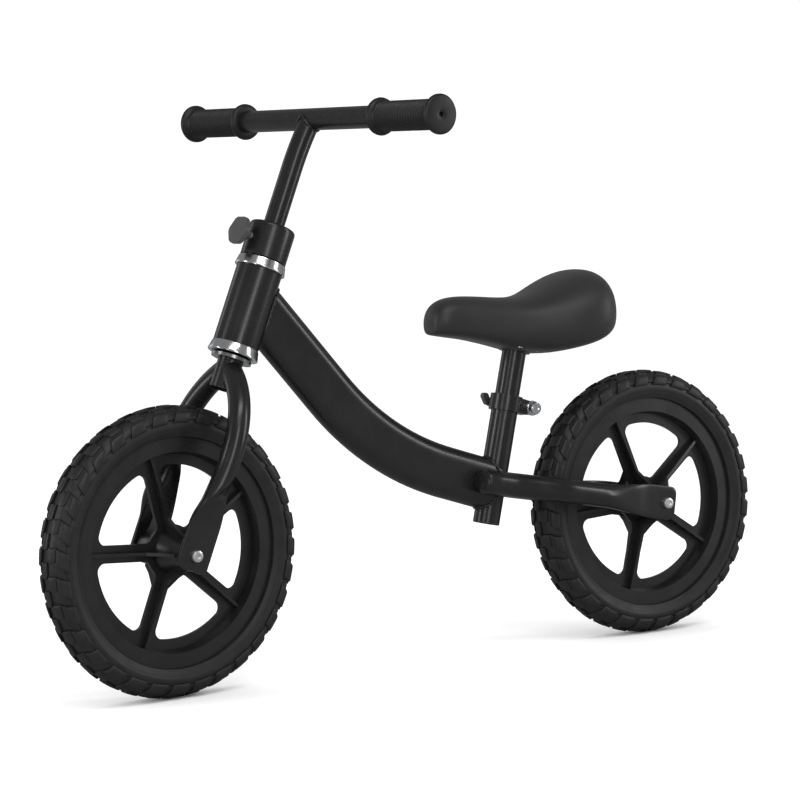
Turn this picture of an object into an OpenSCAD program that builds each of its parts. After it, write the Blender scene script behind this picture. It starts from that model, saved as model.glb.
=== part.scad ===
/* [Wheels] */
// Distance between the front and rear axles
wheelbase = 583; // [575:1:600]
// Outside diameter of the foam tyres
tyre_d = 285; // [283:1:288]
// Width of the tyres across the tread
tyre_w = 42; // [40:0.5:44]
// Diameter of the plastic rims at their edges
rim_d = 223.6; // [222:0.2:225]
// Number of moulded spokes in each rim
spokes = 5; // [3:1:7]
// Angle of the front wheel's first spoke above the forward direction
front_spoke_turn = 3.7; // [0:0.1:72]
// Angle of the rear wheel's first spoke above the forward direction
rear_spoke_turn = -3.6; // [-36:0.1:36]
// Diameter of the axles
axle_d = 8; // [7:0.5:9]

/* [Steering] */
// Lean of the head tube back from upright
head_lean = 23; // [21:0.1:25]
// How far the fork and handlebar are turned to the left at rest
rest_steer = 5.6; // [0:0.1:10]
// Outside diameter of the head tube and of the clamp collar
head_tube_d = 46; // [44:0.5:48]
// Length of the head tube
head_tube_len = 80; // [76:1:84]
// Height of the lower end of the head tube above the axle, along the steering axis
head_tube_foot = 211.2; // [208:0.2:216]
// Diameter of the round fork leg tubes
leg_d = 22; // [20:0.5:24]
// Distance of each fork leg from the middle, where the leg is straight
leg_y = 49.5; // [47:0.5:52]

/* [Handlebar] */
// Diameter of the handlebar tube
bar_d = 22.2; // [22:0.1:23]
// Length of the handlebar over the grips
bar_len = 406; // [380:1:430]
// Diameter of the stem tube
stem_d = 21.1; // [21:0.1:21.4]
// Height of the handlebar above the front axle, along the steering axis
bar_height = 452.9; // [440:0.1:465]
// Diameter of the grip sleeves
grip_d = 30; // [28:0.5:32]

/* [Frame] */
// Depth of the oval main beam
beam_depth = 54; // [50:1:58]
// Width of the oval main beam
beam_width = 30; // [28:0.5:32]
// Slope of the beam below the head tube
beam_slope_front = 49; // [47:0.5:51]
// Slope of the beam ahead of the seat tube
beam_slope_rear = 17.5; // [16:0.5:19]
// Bend radius of the beam along its middle
beam_bend_r = 300; // [260:5:320]
// Diameter of the seat tube
seat_tube_d = 28; // [27.8:0.1:28.6]
// Lean of the seat tube back from upright
seat_lean = 14.15; // [13:0.05:15]
// Diameter of the chain stay tubes
stay_d = 25.4; // [24:0.2:26]

/* [Seat] */
// Diameter of the seat post
post_d = 25.4; // [25.2:0.1:25.4]
// Length of the saddle
saddle_len = 222; // [216:1:228]
// Width of the saddle at its widest
saddle_w = 140; // [134:1:146]

/* [Hidden] */
$fn = 64;
eps = 0.01;

tyre_r = tyre_d / 2;
rim_r = rim_d / 2;
front_axle_x = wheelbase / 2;
rear_axle_x = -wheelbase / 2;

// Running clearance on a radius between parts that turn or slide on each other
fit = 0.05;

// Wheel: half widths along the axle and radii about it
rim_half_w = 12.6;
flange_t = 2.6;
channel_r = rim_r - 11.8;
barrel_face_r = rim_r - 14.1;
barrel_web_r = rim_r - 16.8;
window_outer_r = rim_r - 26.8;
window_inner_r = 27;
window_corner_r = 8;
spoke_w = 17;
web_t = 4;
rib_t = 3.2;
hub_half_len = 36.7;
hub_end_r = 15.5;
hub_mid_r = 21;
bearing_r = 11;
bearing_t = 7;
axle_r = axle_d / 2;
bead_half_w = 15.8;
shoulder_drop = 11.9;

// Axle ends: the flattened tube ends stand this far out on each side
drop_inner_y = 40;
drop_t = 4;
drop_outer_y = drop_inner_y + drop_t;
nut_r = 6.25;
nut_len = 4.9;
axle_grip = 3;

// Head set, as heights along the steering axis above the front axle
head_r = head_tube_d / 2;
head_top = head_tube_foot + head_tube_len;
head_wall = 2;
steerer_r = 12.7;
steerer_foot = head_tube_foot - 44.7;
collar_foot = head_top + 11;
collar_top = collar_foot + 34.8;
steerer_top = collar_top - 9;
ball_r = 2.38;
ball_ring_r = 16.2;
ball_count = 18;
cup_lip_r = head_r + 2.6;
cup_bore_r = 14.2;
screw_r = 4;
screw_height = collar_top - 18.6;
knob_x = 34.3;
knob_t = 5.5;
knob_r = 14.6;

// Fork legs: a bend below the crown, a straight, then a taper into the flat end
leg_bend_r = 98;
leg_bend_top = 104;
leg_taper_top = 98;
leg_end_y = 3;
leg_bend_angle = acos(1 - (leg_y - leg_end_y) / leg_bend_r);
leg_wall = 1.4;
drop_w = 36;
drop_foot = -15;
drop_head = 33;

// Stem and bar
stem_foot = 235;
stem_bend_foot = 398;
stem_bend_r = 350;
stem_bend_angle = asin((bar_height - stem_bend_foot) / stem_bend_r);
bar_back = stem_bend_r * (1 - cos(stem_bend_angle));
bar_r = bar_d / 2;
grip_len = 95;
grip_inner_flange_r = 18.5;
grip_outer_flange_r = 19.25;

// Main beam: its two straight middle lines cross at this corner, ahead of the bend
beam_corner_x = 47.6;
beam_corner_z = 219.3;
beam_wall = 1.6;
beam_turn = beam_slope_front - beam_slope_rear;
beam_tangent = beam_bend_r * tan(beam_turn / 2);

// Seat tube foot, and heights along the seat tube
seat_foot_x = -83.5;
seat_foot_z = 136.2;
seat_tube_len = 136;
seat_tube_bore_r = post_d / 2 + fit;
clamp_foot = 119.4;
clamp_h = 16.6;
clamp_mid = clamp_foot + clamp_h / 2;
clamp_band_t = 3;
ear_x = -27.8;
ear_z = clamp_foot + 8.4;
ear_half_gap = 1.5;
ear_outer_y = 9;
skewer_r = 3;
skewer_y = 15;
pin_y = -20;
pin_r = 2;
lever_tip = 8.2;
lever_tip_r = 3.5;
lever_inner_y = -22.4;
lever_t = 5.8;

// Chain stays: rise toward the front, and the two corners of the run that clears the tyre
stay_rise = 10.1;
stay_front = 229;
stay_inner_y = 26.6;
stay_outer_y = 44;
stay_corner_front = 189.4;
stay_corner_rear = 140;
stay_wall = 1.5;
stay_taper_front = 112;
stay_taper_rear = 26;
stay_tip = -11.5;

// Saddle, as heights along the seat post: the cushion's rim hides the plate and the board
post_foot = 40;
rim_z = 183;
rim_rise = 21;
plate_z = 187.5;
plate_t = 3;
collar_t = 5;
board_t = 6;
board_z = plate_z + plate_t;
board_nose = 90;
board_bend_x = -19;
board_rise = 27;
board_tail_len = 74;
staple_t = 0.7;
saddle_nose = -20;
waist_x = -128;

function crown_r(t) = tyre_r - shoulder_drop * pow(abs(t), 2.4);

// Frames of reference
module in_head() { translate([front_axle_x, 0, tyre_r]) rotate([0, -head_lean, 0]) children(); }

module in_fork() { in_head() rotate([0, 0, rest_steer]) children(); }

module in_seat() { translate([seat_foot_x, 0, seat_foot_z]) rotate([0, -seat_lean, 0]) children(); }

module in_stay() { translate([rear_axle_x, 0, tyre_r]) rotate([0, -stay_rise, 0]) children(); }

// The front wheel stands in the fork, turned so that its spokes keep their own angle
module in_front_wheel() { in_fork() rotate([0, head_lean, 0]) children(); }

module in_rear_wheel() { translate([rear_axle_x, 0, tyre_r]) children(); }

// Turns a shape made about Z so that it lies about Y
module about_y() { rotate([90, 0, 0]) children(); }

module tube(r, wall, length) {
    difference() {
        cylinder(r = r, h = length);
        translate([0, 0, -eps]) cylinder(r = r - wall, h = length + 2 * eps);
    }
}

// Flat-sided oval with round ends, its long way along X
module oval(depth, width) {
    square([depth - width, width], center = true);
    for (side = [-1, 1]) translate([side * (depth - width) / 2, 0]) circle(d = width);
}

// ---- Frame ----

module head_tube() {
    color("#1b1b1c") in_head() translate([0, 0, head_tube_foot]) tube(head_r, head_wall, head_tube_len);
}

// The bend, and the two straight stretches that run on from inside its ends
module beam_path(front_len, rear_len, depth, width) {
    step = 0.05;
    translate([beam_corner_x, 0, beam_corner_z]) {
        rotate([0, 90 - beam_slope_front, 0]) translate([0, 0, beam_tangent - 1])
            linear_extrude(front_len) oval(depth - 2 * step, width - 2 * step);
        rotate([0, -90 - beam_slope_rear, 0]) translate([0, 0, beam_tangent - 1])
            linear_extrude(rear_len) oval(depth - 2 * step, width - 2 * step);
        rotate([0, 90 - beam_slope_front, 0]) translate([-beam_bend_r, 0, beam_tangent])
            about_y() rotate([0, 0, -beam_turn]) rotate_extrude(angle = beam_turn)
            translate([beam_bend_r, 0]) oval(depth, width);
    }
}

module main_beam() {
    color("#1b1b1c") difference() {
        beam_path(132, 64, beam_depth, beam_width);
        beam_path(133, 65, beam_depth - 2 * beam_wall, beam_width - 2 * beam_wall);
        in_head() translate([0, 0, head_tube_foot - 40]) cylinder(r = head_r, h = head_tube_len + 80);
        in_seat() translate([0, 0, -30]) cylinder(d = seat_tube_d, h = seat_tube_len + 30);
        in_head() translate([0, -60, 150]) cube([120, 120, 240]);
        in_seat() translate([-120, -60, -40]) cube([120, 120, 200]);
    }
}

module seat_tube() {
    color("#1b1b1c") in_seat() difference() {
        cylinder(d = seat_tube_d, h = seat_tube_len);
        translate([0, 0, -eps]) cylinder(r = seat_tube_bore_r, h = seat_tube_len + 2 * eps);
        translate([-seat_tube_d, -ear_half_gap, seat_tube_len - 26]) cube([seat_tube_d, 2 * ear_half_gap, 40]);
    }
}

// Round tube pressed flat toward its lower end, along Z: the plate stands at the axle's end
module pressed_end(r, tube_y, top, shoulder, foot, corner) {
    hull() {
        translate([0, tube_y, top]) cylinder(r = r - 0.25, h = 2, $fn = 48);
        translate([-drop_w / 2, drop_inner_y, shoulder]) cube([drop_w, drop_t, 1]);
    }
    translate([0, drop_outer_y, 0]) about_y() linear_extrude(drop_t)
        flat_end_outline(drop_w, foot, shoulder + 1, corner);
}

// Hollow that narrows inside a pressed end
module pressed_bore(r, tube_y, top, shoulder) {
    hull() {
        translate([0, tube_y, top - 1]) cylinder(r = r - 0.25, h = 2, $fn = 48);
        translate([2 - drop_w / 2, drop_inner_y + drop_t / 2 - 0.3, shoulder + 2]) cube([drop_w - 4, 0.6, 1]);
    }
}

module flat_end_outline(width, foot, head, corner) {
    translate([-width / 2, foot + corner]) square([width, head - foot - corner]);
    translate([corner - width / 2, foot]) square([width - 2 * corner, corner + eps]);
    for (side = [-1, 1]) translate([side * (width / 2 - corner), foot + corner]) circle(r = corner);
}

// Sideways run of a chain stay on the +Y side, with the tube's own rising line as Z
module stay_run(r, slant_r, lap, front) {
    turn = atan((stay_outer_y - stay_inner_y) / (stay_corner_front - stay_corner_rear));
    slant = (stay_corner_front - stay_corner_rear) / cos(turn);
    translate([0, stay_inner_y, stay_corner_front - lap])
        cylinder(r = r, h = front - stay_corner_front + lap);
    translate([0, stay_inner_y, stay_corner_front]) rotate([180 + turn, 0, 0]) translate([0, 0, -lap])
        cylinder(r = slant_r, h = slant + 2 * lap);
    translate([0, stay_outer_y, stay_taper_front])
        cylinder(r = r, h = stay_corner_rear - stay_taper_front + lap);
}

module chain_stay() {
    r = stay_d / 2;
    bore = r - stay_wall;
    difference() {
        union() {
            stay_run(r, r - 0.4, 1.8, stay_front);
            pressed_end(r, stay_outer_y, stay_taper_front, stay_taper_rear, stay_tip, 7);
        }
        stay_run(bore, bore - 2, 0.5, stay_front - 2);
        pressed_bore(bore, stay_outer_y, stay_taper_front, stay_taper_rear);
        translate([0, 0, stay_front - 8]) rotate([-90, 0, 0]) cylinder(r = 2, h = stay_inner_y);
        translate([0, 60, 0]) about_y() cylinder(r = axle_r, h = 60);
    }
}

module cut_stay() {
    difference() {
        in_stay() rotate([0, 90, 0]) chain_stay();
        in_seat() translate([0, 0, -30]) cylinder(d = seat_tube_d, h = seat_tube_len + 30);
        beam_path(40, 120, beam_depth, beam_width);
    }
}

module chain_stay_left() { color("#1b1b1c") cut_stay(); }

module chain_stay_right() { color("#1b1b1c") mirror([0, 1, 0]) cut_stay(); }

// Polished ring pressed over the top of the head tube
module headset_cup_upper() {
    t = head_top;
    inner = head_r - head_wall;
    color("#d8d9da") in_head() rotate_extrude() polygon([
        [head_r, t - 2], [cup_lip_r - 0.4, t - 2], [cup_lip_r, t - 1], [head_r + 0.7, t + 10.4],
        [inner, t + 10.4], [inner - 1.4, t + 5.1], [cup_bore_r, t + 5.1], [cup_bore_r, t + 2.4],
        [inner - 2, t + 2.4], [inner - 2, t - 7], [inner, t - 7], [inner, t], [head_r, t]
    ]);
}

module headset_cup_lower() {
    b = head_tube_foot;
    inner = head_r - head_wall;
    color("#d8d9da") in_head() rotate_extrude() polygon([
        [cup_lip_r - 0.4, b - 10], [cup_lip_r, b - 8.8], [head_r + 0.4, b], [inner, b],
        [inner, b + 7], [inner - 2, b + 7], [inner - 2, b - 2], [cup_bore_r, b - 2.2],
        [cup_bore_r, b - 4.9], [inner - 1.6, b - 4.9], [inner - 0.2, b - 10]
    ]);
}

module ball_ring(height) {
    for (i = [0:ball_count - 1]) rotate([0, 0, i * 360 / ball_count])
        translate([ball_ring_r, 0, height]) sphere(r = ball_r, $fn = 24);
}

module headset_balls_upper() { color("#b9bcc0") in_head() ball_ring(head_top + 5.4 + ball_r); }

module headset_balls_lower() { color("#b9bcc0") in_head() ball_ring(head_tube_foot - 5.2 - ball_r); }

// ---- Seat clamp ----

// Side view of an ear, tapering from the band to a round end about the rod
module ear_outline() {
    translate([ear_x, ear_z]) circle(r = 7.5);
    polygon([
        [-12, clamp_foot + 0.6], [-12, clamp_foot + clamp_h - 0.6], [-17, clamp_foot + clamp_h - 0.6],
        [ear_x + 2, ear_z + 6.9], [ear_x + 2, ear_z - 6.9], [-18, clamp_foot + 0.6]
    ]);
}

module seat_clamp_band() {
    band_r = seat_tube_d / 2 + clamp_band_t;
    ear_t = ear_outer_y - ear_half_gap;
    color("#18181a") in_seat() difference() {
        union() {
            translate([0, 0, clamp_foot]) cylinder(r = band_r, h = clamp_h);
            for (side = [-1, 1]) translate([0, side * (ear_half_gap + ear_outer_y) / 2, 0]) about_y()
                linear_extrude(height = ear_t, center = true) ear_outline();
        }
        translate([0, 0, clamp_foot - 1]) cylinder(d = seat_tube_d, h = clamp_h + 2);
        translate([-60, -ear_half_gap, clamp_foot - 10]) cube([60, 2 * ear_half_gap, clamp_h + 20]);
        translate([ear_x, 30, ear_z]) about_y() cylinder(r = skewer_r, h = 60);
    }
}

// Rod through the ears, with an eye for the lever's pin on the right
module seat_clamp_skewer() {
    color("#a9abae") in_seat() difference() {
        union() {
            translate([ear_x, skewer_y, ear_z]) about_y() cylinder(r = skewer_r, h = skewer_y - pin_y);
            translate([ear_x, pin_y, ear_z - 4]) cylinder(r = 4.6, h = 8);
        }
        translate([ear_x, pin_y, ear_z - 10]) cylinder(r = pin_r, h = 20);
    }
}

// Rounded nut with a ring pressed in its face, screwed on the left end of the rod
module seat_clamp_nut() {
    color("#d5d6d8") in_seat() translate([ear_x, skewer_y + 3, ear_z]) about_y() difference() {
        rotate_extrude() polygon([
            [0, 0.5], [2.2, 0.5], [3, 0], [4.6, 0], [6.2, 0.8], [6.8, 2.2], [6.8, 5.6], [6.3, 6.4],
            [6.3, 7.4], [0, 7.4]
        ]);
        translate([0, 0, 3]) cylinder(r = skewer_r, h = 12);
    }
}

module seat_clamp_washers() {
    color("#c9cacc") in_seat() for (face = [ear_outer_y, -ear_outer_y - 1.6])
        translate([ear_x, face + 1.6, ear_z]) about_y() difference() {
            cylinder(r = 8, h = 1.6);
            translate([0, 0, -1]) cylinder(r = skewer_r, h = 4);
        }
}

module seat_clamp_pin() {
    color("#a9abae") in_seat() translate([ear_x, pin_y, ear_z - 7]) cylinder(r = pin_r, h = 14);
}

// Side view of the lever's tip: an oval that slants upwards and forwards
module lever_tip_outline() {
    ends = [[lever_tip + 2.1, ear_z + 5.2], [lever_tip - 2.1, ear_z]];
    across = [0.778, -0.629] * (lever_tip_r - 0.05);
    for (end = ends) translate(end) circle(r = lever_tip_r);
    polygon([ends[0] + across, ends[1] + across, ends[1] - across, ends[0] - across]);
    polygon([
        [-3, ear_z - 5], [lever_tip - 2, ear_z - lever_tip_r + 0.1], [lever_tip - 0.5, ear_z + 4],
        [-3, ear_z + 5]
    ]);
}

// Cam head round the pin, and an arm that lies forward beside the band
module seat_clamp_lever() {
    cam_r = 9;
    color("#161617") in_seat() difference() {
        union() {
            translate([0, 0, ear_z - 6.5]) linear_extrude(13) {
                translate([ear_x, pin_y]) circle(r = cam_r);
                polygon([
                    [ear_x - 2, pin_y - 8.7], [ear_x + 4, pin_y - 8.2], [-8, -27.2],
                    [0, lever_inner_y - lever_t], [0, lever_inner_y], [-8, -21.4],
                    [ear_x + 9, pin_y - 0.5]
                ]);
            }
            translate([0, lever_inner_y, 0]) about_y() linear_extrude(lever_t) lever_tip_outline();
        }
        translate([ear_x, pin_y, ear_z - 4.3]) cylinder(r = 10, h = 8.6);
        translate([ear_x, pin_y, ear_z - 10]) cylinder(r = pin_r + fit, h = 20);
    }
}

// ---- Axles ----

module axle_rod() {
    translate([0, drop_outer_y + axle_grip, 0]) about_y()
        cylinder(r = axle_r, h = 2 * (drop_outer_y + axle_grip));
}

// Low round head with a six-sided socket, screwed over each end of the rod
module axle_nuts() {
    for (side = [0, 1]) mirror([0, side, 0]) translate([0, drop_outer_y + nut_len, 0]) about_y()
        difference() {
            rotate_extrude() polygon([
                [0, 0], [3.6, 0], [5.4, 0.7], [nut_r - 0.2, 2], [nut_r, 2.6], [nut_r, nut_len], [0, nut_len]
            ]);
            translate([0, 0, nut_len - axle_grip]) cylinder(r = axle_r, h = axle_grip + 1);
            translate([0, 0, -1]) cylinder(r = 2.5, h = 2.4, $fn = 6);
        }
}

// Short tubes that keep the wheel in the middle of its axle
module axle_spacers() {
    foot = hub_half_len + 0.3;
    for (side = [0, 1]) mirror([0, side, 0]) translate([0, drop_inner_y, 0]) about_y()
        difference() {
            cylinder(r = 6.2, h = drop_inner_y - foot);
            translate([0, 0, -1]) cylinder(r = axle_r, h = 8);
        }
}

module rear_axle() { color("#b3b5b8") in_rear_wheel() axle_rod(); }

module rear_axle_nuts() { color("#cfd1d4") in_rear_wheel() axle_nuts(); }

module rear_axle_spacers() { color("#b3b5b8") in_rear_wheel() axle_spacers(); }

module front_axle() { color("#b3b5b8") in_fork() axle_rod(); }

module front_axle_nuts() { color("#cfd1d4") in_fork() axle_nuts(); }

module front_axle_spacers() { color("#b3b5b8") in_fork() axle_spacers(); }

// ---- Fork ----

module fork_steerer() {
    color("#1b1b1c") in_fork() difference() {
        translate([0, 0, steerer_foot]) cylinder(r = steerer_r, h = steerer_top - steerer_foot);
        translate([0, 0, steerer_foot - 1]) cylinder(r = stem_d / 2 + fit, h = 300);
        translate([0, 0, screw_height]) rotate([0, 90, 0]) cylinder(r = screw_r + fit, h = 40);
    }
}

module leg_bend(r) {
    translate([0, leg_y - leg_bend_r, leg_bend_top]) rotate([90, 0, 90])
        rotate_extrude(angle = leg_bend_angle) translate([leg_bend_r, 0]) circle(r = r);
}

module fork_leg() {
    r = leg_d / 2;
    color("#1b1b1c") difference() {
        union() {
            leg_bend(r);
            translate([0, leg_y, leg_taper_top]) cylinder(r = r, h = leg_bend_top - leg_taper_top);
            pressed_end(r, leg_y, leg_taper_top, drop_head, drop_foot, 6);
        }
        leg_bend(r - leg_wall);
        translate([0, leg_y, leg_taper_top]) cylinder(r = r - leg_wall, h = leg_bend_top - leg_taper_top);
        pressed_bore(r - leg_wall, leg_y, leg_taper_top, drop_head);
        translate([0, 0, steerer_foot - 20]) cylinder(r = steerer_r, h = 60);
        translate([0, 60, 0]) about_y() cylinder(r = axle_r, h = 60);
    }
}

module fork_leg_left() { in_fork() fork_leg(); }

module fork_leg_right() { in_fork() mirror([0, 1, 0]) fork_leg(); }

// Race pressed on the steerer, under the lower ball ring
module crown_race() {
    b = head_tube_foot;
    color("#a9abae") in_fork() rotate_extrude() polygon([
        [steerer_r, b - 14.8], [20.3, b - 14.8], [20.3, b - 11.8], [19.4, b - 10.4], [steerer_r, b - 10.4]
    ]);
}

// Threaded race over the upper ball ring, hidden in the collar
module upper_race_nut() {
    t = head_top + 5.4 + 2 * ball_r + 0.4;
    color("#a9abae") in_fork() rotate_extrude() polygon([
        [steerer_r, t], [19, t], [19, collar_foot + 5.8], [steerer_r, collar_foot + 5.8]
    ]);
}

module clamp_collar() {
    f = collar_foot;
    t = collar_top;
    color("#1a1a1b") in_fork() difference() {
        rotate_extrude() polygon([
            [19.3, f], [head_r + 0.2, f], [head_r + 0.2, t - 3], [head_r - 0.8, t - 1], [head_r - 2.8, t],
            [stem_d / 2 + 0.35, t], [stem_d / 2 + 0.35, steerer_top], [steerer_r, steerer_top],
            [steerer_r, f + 6], [19.3, f + 6]
        ]);
        translate([0, 0, screw_height]) rotate([0, 90, 0]) cylinder(r = screw_r + fit, h = 60);
    }
}

// Screw that presses on the stem through the collar and the steerer
module clamp_screw() {
    tip = stem_d / 2 + 0.3;
    color("#9a9ca0") in_fork() translate([tip, 0, screw_height]) rotate([0, 90, 0])
        cylinder(r = screw_r, h = knob_x + 3 - tip);
}

module knob_outline() {
    rotate(30) intersection() {
        circle(r = knob_r + 1.1, $fn = 6);
        circle(r = knob_r);
    }
}

module clamp_knob() {
    color("#2c2c2e") in_fork() translate([0, 0, screw_height]) rotate([0, 90, 0]) difference() {
        union() {
            translate([0, 0, head_r + 2.2]) cylinder(r = 5.4, h = knob_x - head_r - 2);
            translate([0, 0, knob_x]) linear_extrude(knob_t) knob_outline();
        }
        translate([0, 0, head_r]) cylinder(r = screw_r, h = knob_x + 3 - head_r);
    }
}

// ---- Handlebar ----

module handlebar_stem() {
    color("#1b1b1c") in_fork() difference() {
        union() {
            translate([0, 0, stem_foot]) cylinder(d = stem_d, h = stem_bend_foot - stem_foot);
            translate([-stem_bend_r, 0, stem_bend_foot]) about_y() rotate_extrude(angle = stem_bend_angle)
                translate([stem_bend_r, 0]) circle(d = stem_d);
        }
        translate([0, 0, stem_foot - 1]) cylinder(d = stem_d - 4, h = stem_bend_foot - stem_foot - 9);
        translate([-bar_back, 100, bar_height]) about_y() cylinder(r = bar_r, h = 200);
    }
}

module in_bar() { in_fork() translate([-bar_back, 0, bar_height]) children(); }

module handlebar_tube() {
    half = bar_len / 2 - 4;
    color("#1b1b1c") in_bar() translate([0, half, 0]) about_y() tube(bar_r, 1.6, 2 * half);
}

// Rubber sleeve with a rounded flange at each end, closed at the tip
module grip() {
    e = bar_len / 2;
    i = e - grip_len;
    body_r = grip_d / 2;
    translate([0, e, 0]) about_y() difference() {
        rotate_extrude() polygon([
            [0, 0], [grip_outer_flange_r - 1.5, 0], [grip_outer_flange_r, 1.6],
            [grip_outer_flange_r, 4], [grip_outer_flange_r - 1.2, 5.6], [body_r + 0.6, 6.4],
            [body_r, 7.6], [body_r, e - i - 8.6], [body_r + 0.8, e - i - 7.2],
            [grip_inner_flange_r - 1.4, e - i - 6.4], [grip_inner_flange_r, e - i - 4.6],
            [grip_inner_flange_r, e - i - 2.6], [grip_inner_flange_r - 2, e - i - 0.8],
            [bar_r + 2.5, e - i], [0, e - i]
        ]);
        translate([0, 0, 4]) cylinder(r = bar_r, h = grip_len);
        translate([0, 0, -1]) cylinder(r = 2.4, h = 6);
    }
}

module grip_left() { color("#151516") in_bar() grip(); }

module grip_right() { color("#151516") in_bar() mirror([0, 1, 0]) grip(); }

// ---- Wheels ----

module window_outline() {
    offset(r = window_corner_r, $fn = 40) offset(delta = -window_corner_r) difference() {
        circle(r = window_outer_r, $fn = 160);
        circle(r = window_inner_r, $fn = 64);
        for (i = [0:spokes - 1]) rotate(i * 360 / spokes) translate([0, -spoke_w / 2]) square([120, spoke_w]);
    }
}

module spoke_ribs() {
    for (i = [0:spokes - 1]) rotate([0, 0, i * 360 / spokes]) rotate([90, 0, 0])
        linear_extrude(rib_t, center = true) polygon([
            [8, -33], [18, -33], [24, -24], [36, -12], [barrel_web_r + 1.6, -7.5],
            [barrel_web_r + 1.6, 7.5], [36, 12], [24, 24], [18, 33], [8, 33]
        ]);
}

module rim(turn) {
    color("#151516") about_y() rotate([0, 0, turn]) difference() {
        union() {
            rotate_extrude($fn = 128) polygon([
                [barrel_web_r, -2], [barrel_face_r, -rim_half_w], [rim_r, -rim_half_w],
                [rim_r, flange_t - rim_half_w], [channel_r, flange_t - rim_half_w],
                [channel_r, rim_half_w - flange_t], [rim_r, rim_half_w - flange_t],
                [rim_r, rim_half_w], [barrel_face_r, rim_half_w], [barrel_web_r, 2]
            ]);
            linear_extrude(web_t, center = true) difference() {
                circle(r = barrel_web_r + 0.6, $fn = 160);
                window_outline();
            }
            rotate_extrude() polygon([
                [0, -hub_half_len], [hub_end_r, -hub_half_len], [hub_end_r + 1.5, -20], [hub_mid_r, -4],
                [hub_mid_r, 4], [hub_end_r + 1.5, 20], [hub_end_r, hub_half_len], [0, hub_half_len]
            ]);
            spoke_ribs();
        }
        translate([0, 0, -50]) cylinder(r = 6, h = 100);
        for (side = [-1, 1]) translate([0, 0, side * (hub_half_len + 1 - bearing_t / 2 - 0.5)])
            cylinder(r = bearing_r, h = bearing_t + 1, center = true);
    }
}

// Solid foam tyre, with a foot that fills the rim's channel
module tyre() {
    crown = [for (t = [-1:0.1:1.001]) [crown_r(t), t * tyre_w / 2]];
    foot = rim_half_w - flange_t;
    color("#1a1a1a") about_y() rotate_extrude($fn = 128) polygon(concat(
        [[channel_r, -foot], [rim_r, -foot], [rim_r, -rim_half_w], [rim_r + 1.2, -bead_half_w],
         [rim_r + 4, -bead_half_w - 1.6], [tyre_r - shoulder_drop - 6, -tyre_w / 2 + 0.9]],
        crown,
        [[tyre_r - shoulder_drop - 6, tyre_w / 2 - 0.9], [rim_r + 4, bead_half_w + 1.6],
         [rim_r + 1.2, bead_half_w], [rim_r, rim_half_w], [rim_r, foot], [channel_r, foot]]
    ));
}

// Shielded bearings pressed in both ends of the hub
module wheel_bearings() {
    color("#b9bcc0") for (side = [0, 1]) mirror([0, side, 0]) translate([0, hub_half_len, 0]) about_y()
        rotate_extrude() polygon([
            [axle_r + fit, 0], [6.2, 0], [6.6, 0.5], [9.6, 0.5], [10, 0], [bearing_r, 0],
            [bearing_r, bearing_t], [axle_r + fit, bearing_t]
        ]);
}

module front_rim() { in_front_wheel() rim(front_spoke_turn); }

module front_tyre() { in_front_wheel() tyre(); }

module front_wheel_bearings() { in_front_wheel() wheel_bearings(); }

module rear_rim() { in_rear_wheel() rim(rear_spoke_turn); }

module rear_tyre() { in_rear_wheel() tyre(); }

module rear_wheel_bearings() { in_rear_wheel() wheel_bearings(); }

// ---- Seat ----

module seat_post() {
    color("#1b1b1c") in_seat() translate([0, 0, post_foot]) tube(post_d / 2, 1.6, plate_z - post_foot);
}

// Half width of the board at the bend
function board_half() = saddle_w / 2 - 33;

// Plan of the board: a round nose, and a wide tail behind the bend
module board_plan() {
    mid_x = board_bend_x - (board_tail_len - 30) * cos(board_rise);
    end_x = board_bend_x - board_tail_len * cos(board_rise);
    polygon([
        [board_nose - 15, -15.9], [board_nose - 15, 15.9], [board_nose - 60, 24],
        [board_bend_x, board_half()], [mid_x, board_half() + 3], [end_x, board_half() - 14],
        [end_x, 14 - board_half()], [mid_x, -board_half() - 3], [board_bend_x, -board_half()],
        [board_nose - 60, -24]
    ]);
    translate([board_nose - 16, 0]) circle(r = 16);
}

// The board, bent upwards at the rear; depth lengthens it downwards for its pocket
module board_shape(depth) {
    run = board_tail_len + 5;
    top = board_z + board_t;
    end = [board_bend_x - run * cos(board_rise), board_z + run * sin(board_rise)];
    intersection() {
        rotate([90, 0, 0]) linear_extrude(height = 200, center = true) polygon([
            [board_nose + 5, top], [board_bend_x + board_t * tan(board_rise / 2), top],
            end + board_t * [sin(board_rise), cos(board_rise)], end - [0, depth],
            [board_bend_x, board_z - depth], [board_nose + 5, board_z - depth]
        ]);
        translate([0, 0, board_z - 2 * board_tail_len]) linear_extrude(4 * board_tail_len) board_plan();
    }
}

// Everything under the cushion's rim, which rises behind the bend
module under_rim() {
    run = 200;
    rotate([90, 0, 0]) linear_extrude(height = 300, center = true) polygon([
        [run, rim_z], [board_bend_x, rim_z],
        [board_bend_x - run * cos(rim_rise), rim_z + run * sin(rim_rise)],
        [board_bend_x - run * cos(rim_rise), rim_z - run], [run, rim_z - run]
    ]);
}

module at_board_tail() {
    translate([board_bend_x, 0, board_z]) rotate([0, board_rise, 0]) children();
}

module bracket_holes() {
    for (x = [-10, 10], y = [-22, 22]) translate([x, y, 0]) children();
}

// Steel plate and collar welded to the top of the post
module saddle_bracket() {
    color("#1b1b1c") in_seat() difference() {
        union() {
            translate([-16.5, -27, plate_z]) cube([33, 54, plate_t]);
            translate([0, 0, plate_z - collar_t]) cylinder(r = 16.5, h = collar_t);
        }
        translate([0, 0, plate_z - collar_t - 1]) cylinder(d = post_d, h = collar_t + 1);
        translate([0, 0, plate_z - 1]) bracket_holes() cylinder(r = 2.5, h = 6);
    }
}

module saddle_base() {
    color("#2a2522") in_seat() difference() {
        board_shape(0);
        translate([0, 0, board_z - 1]) bracket_holes() cylinder(r = 2.5, h = 5);
    }
}

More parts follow.
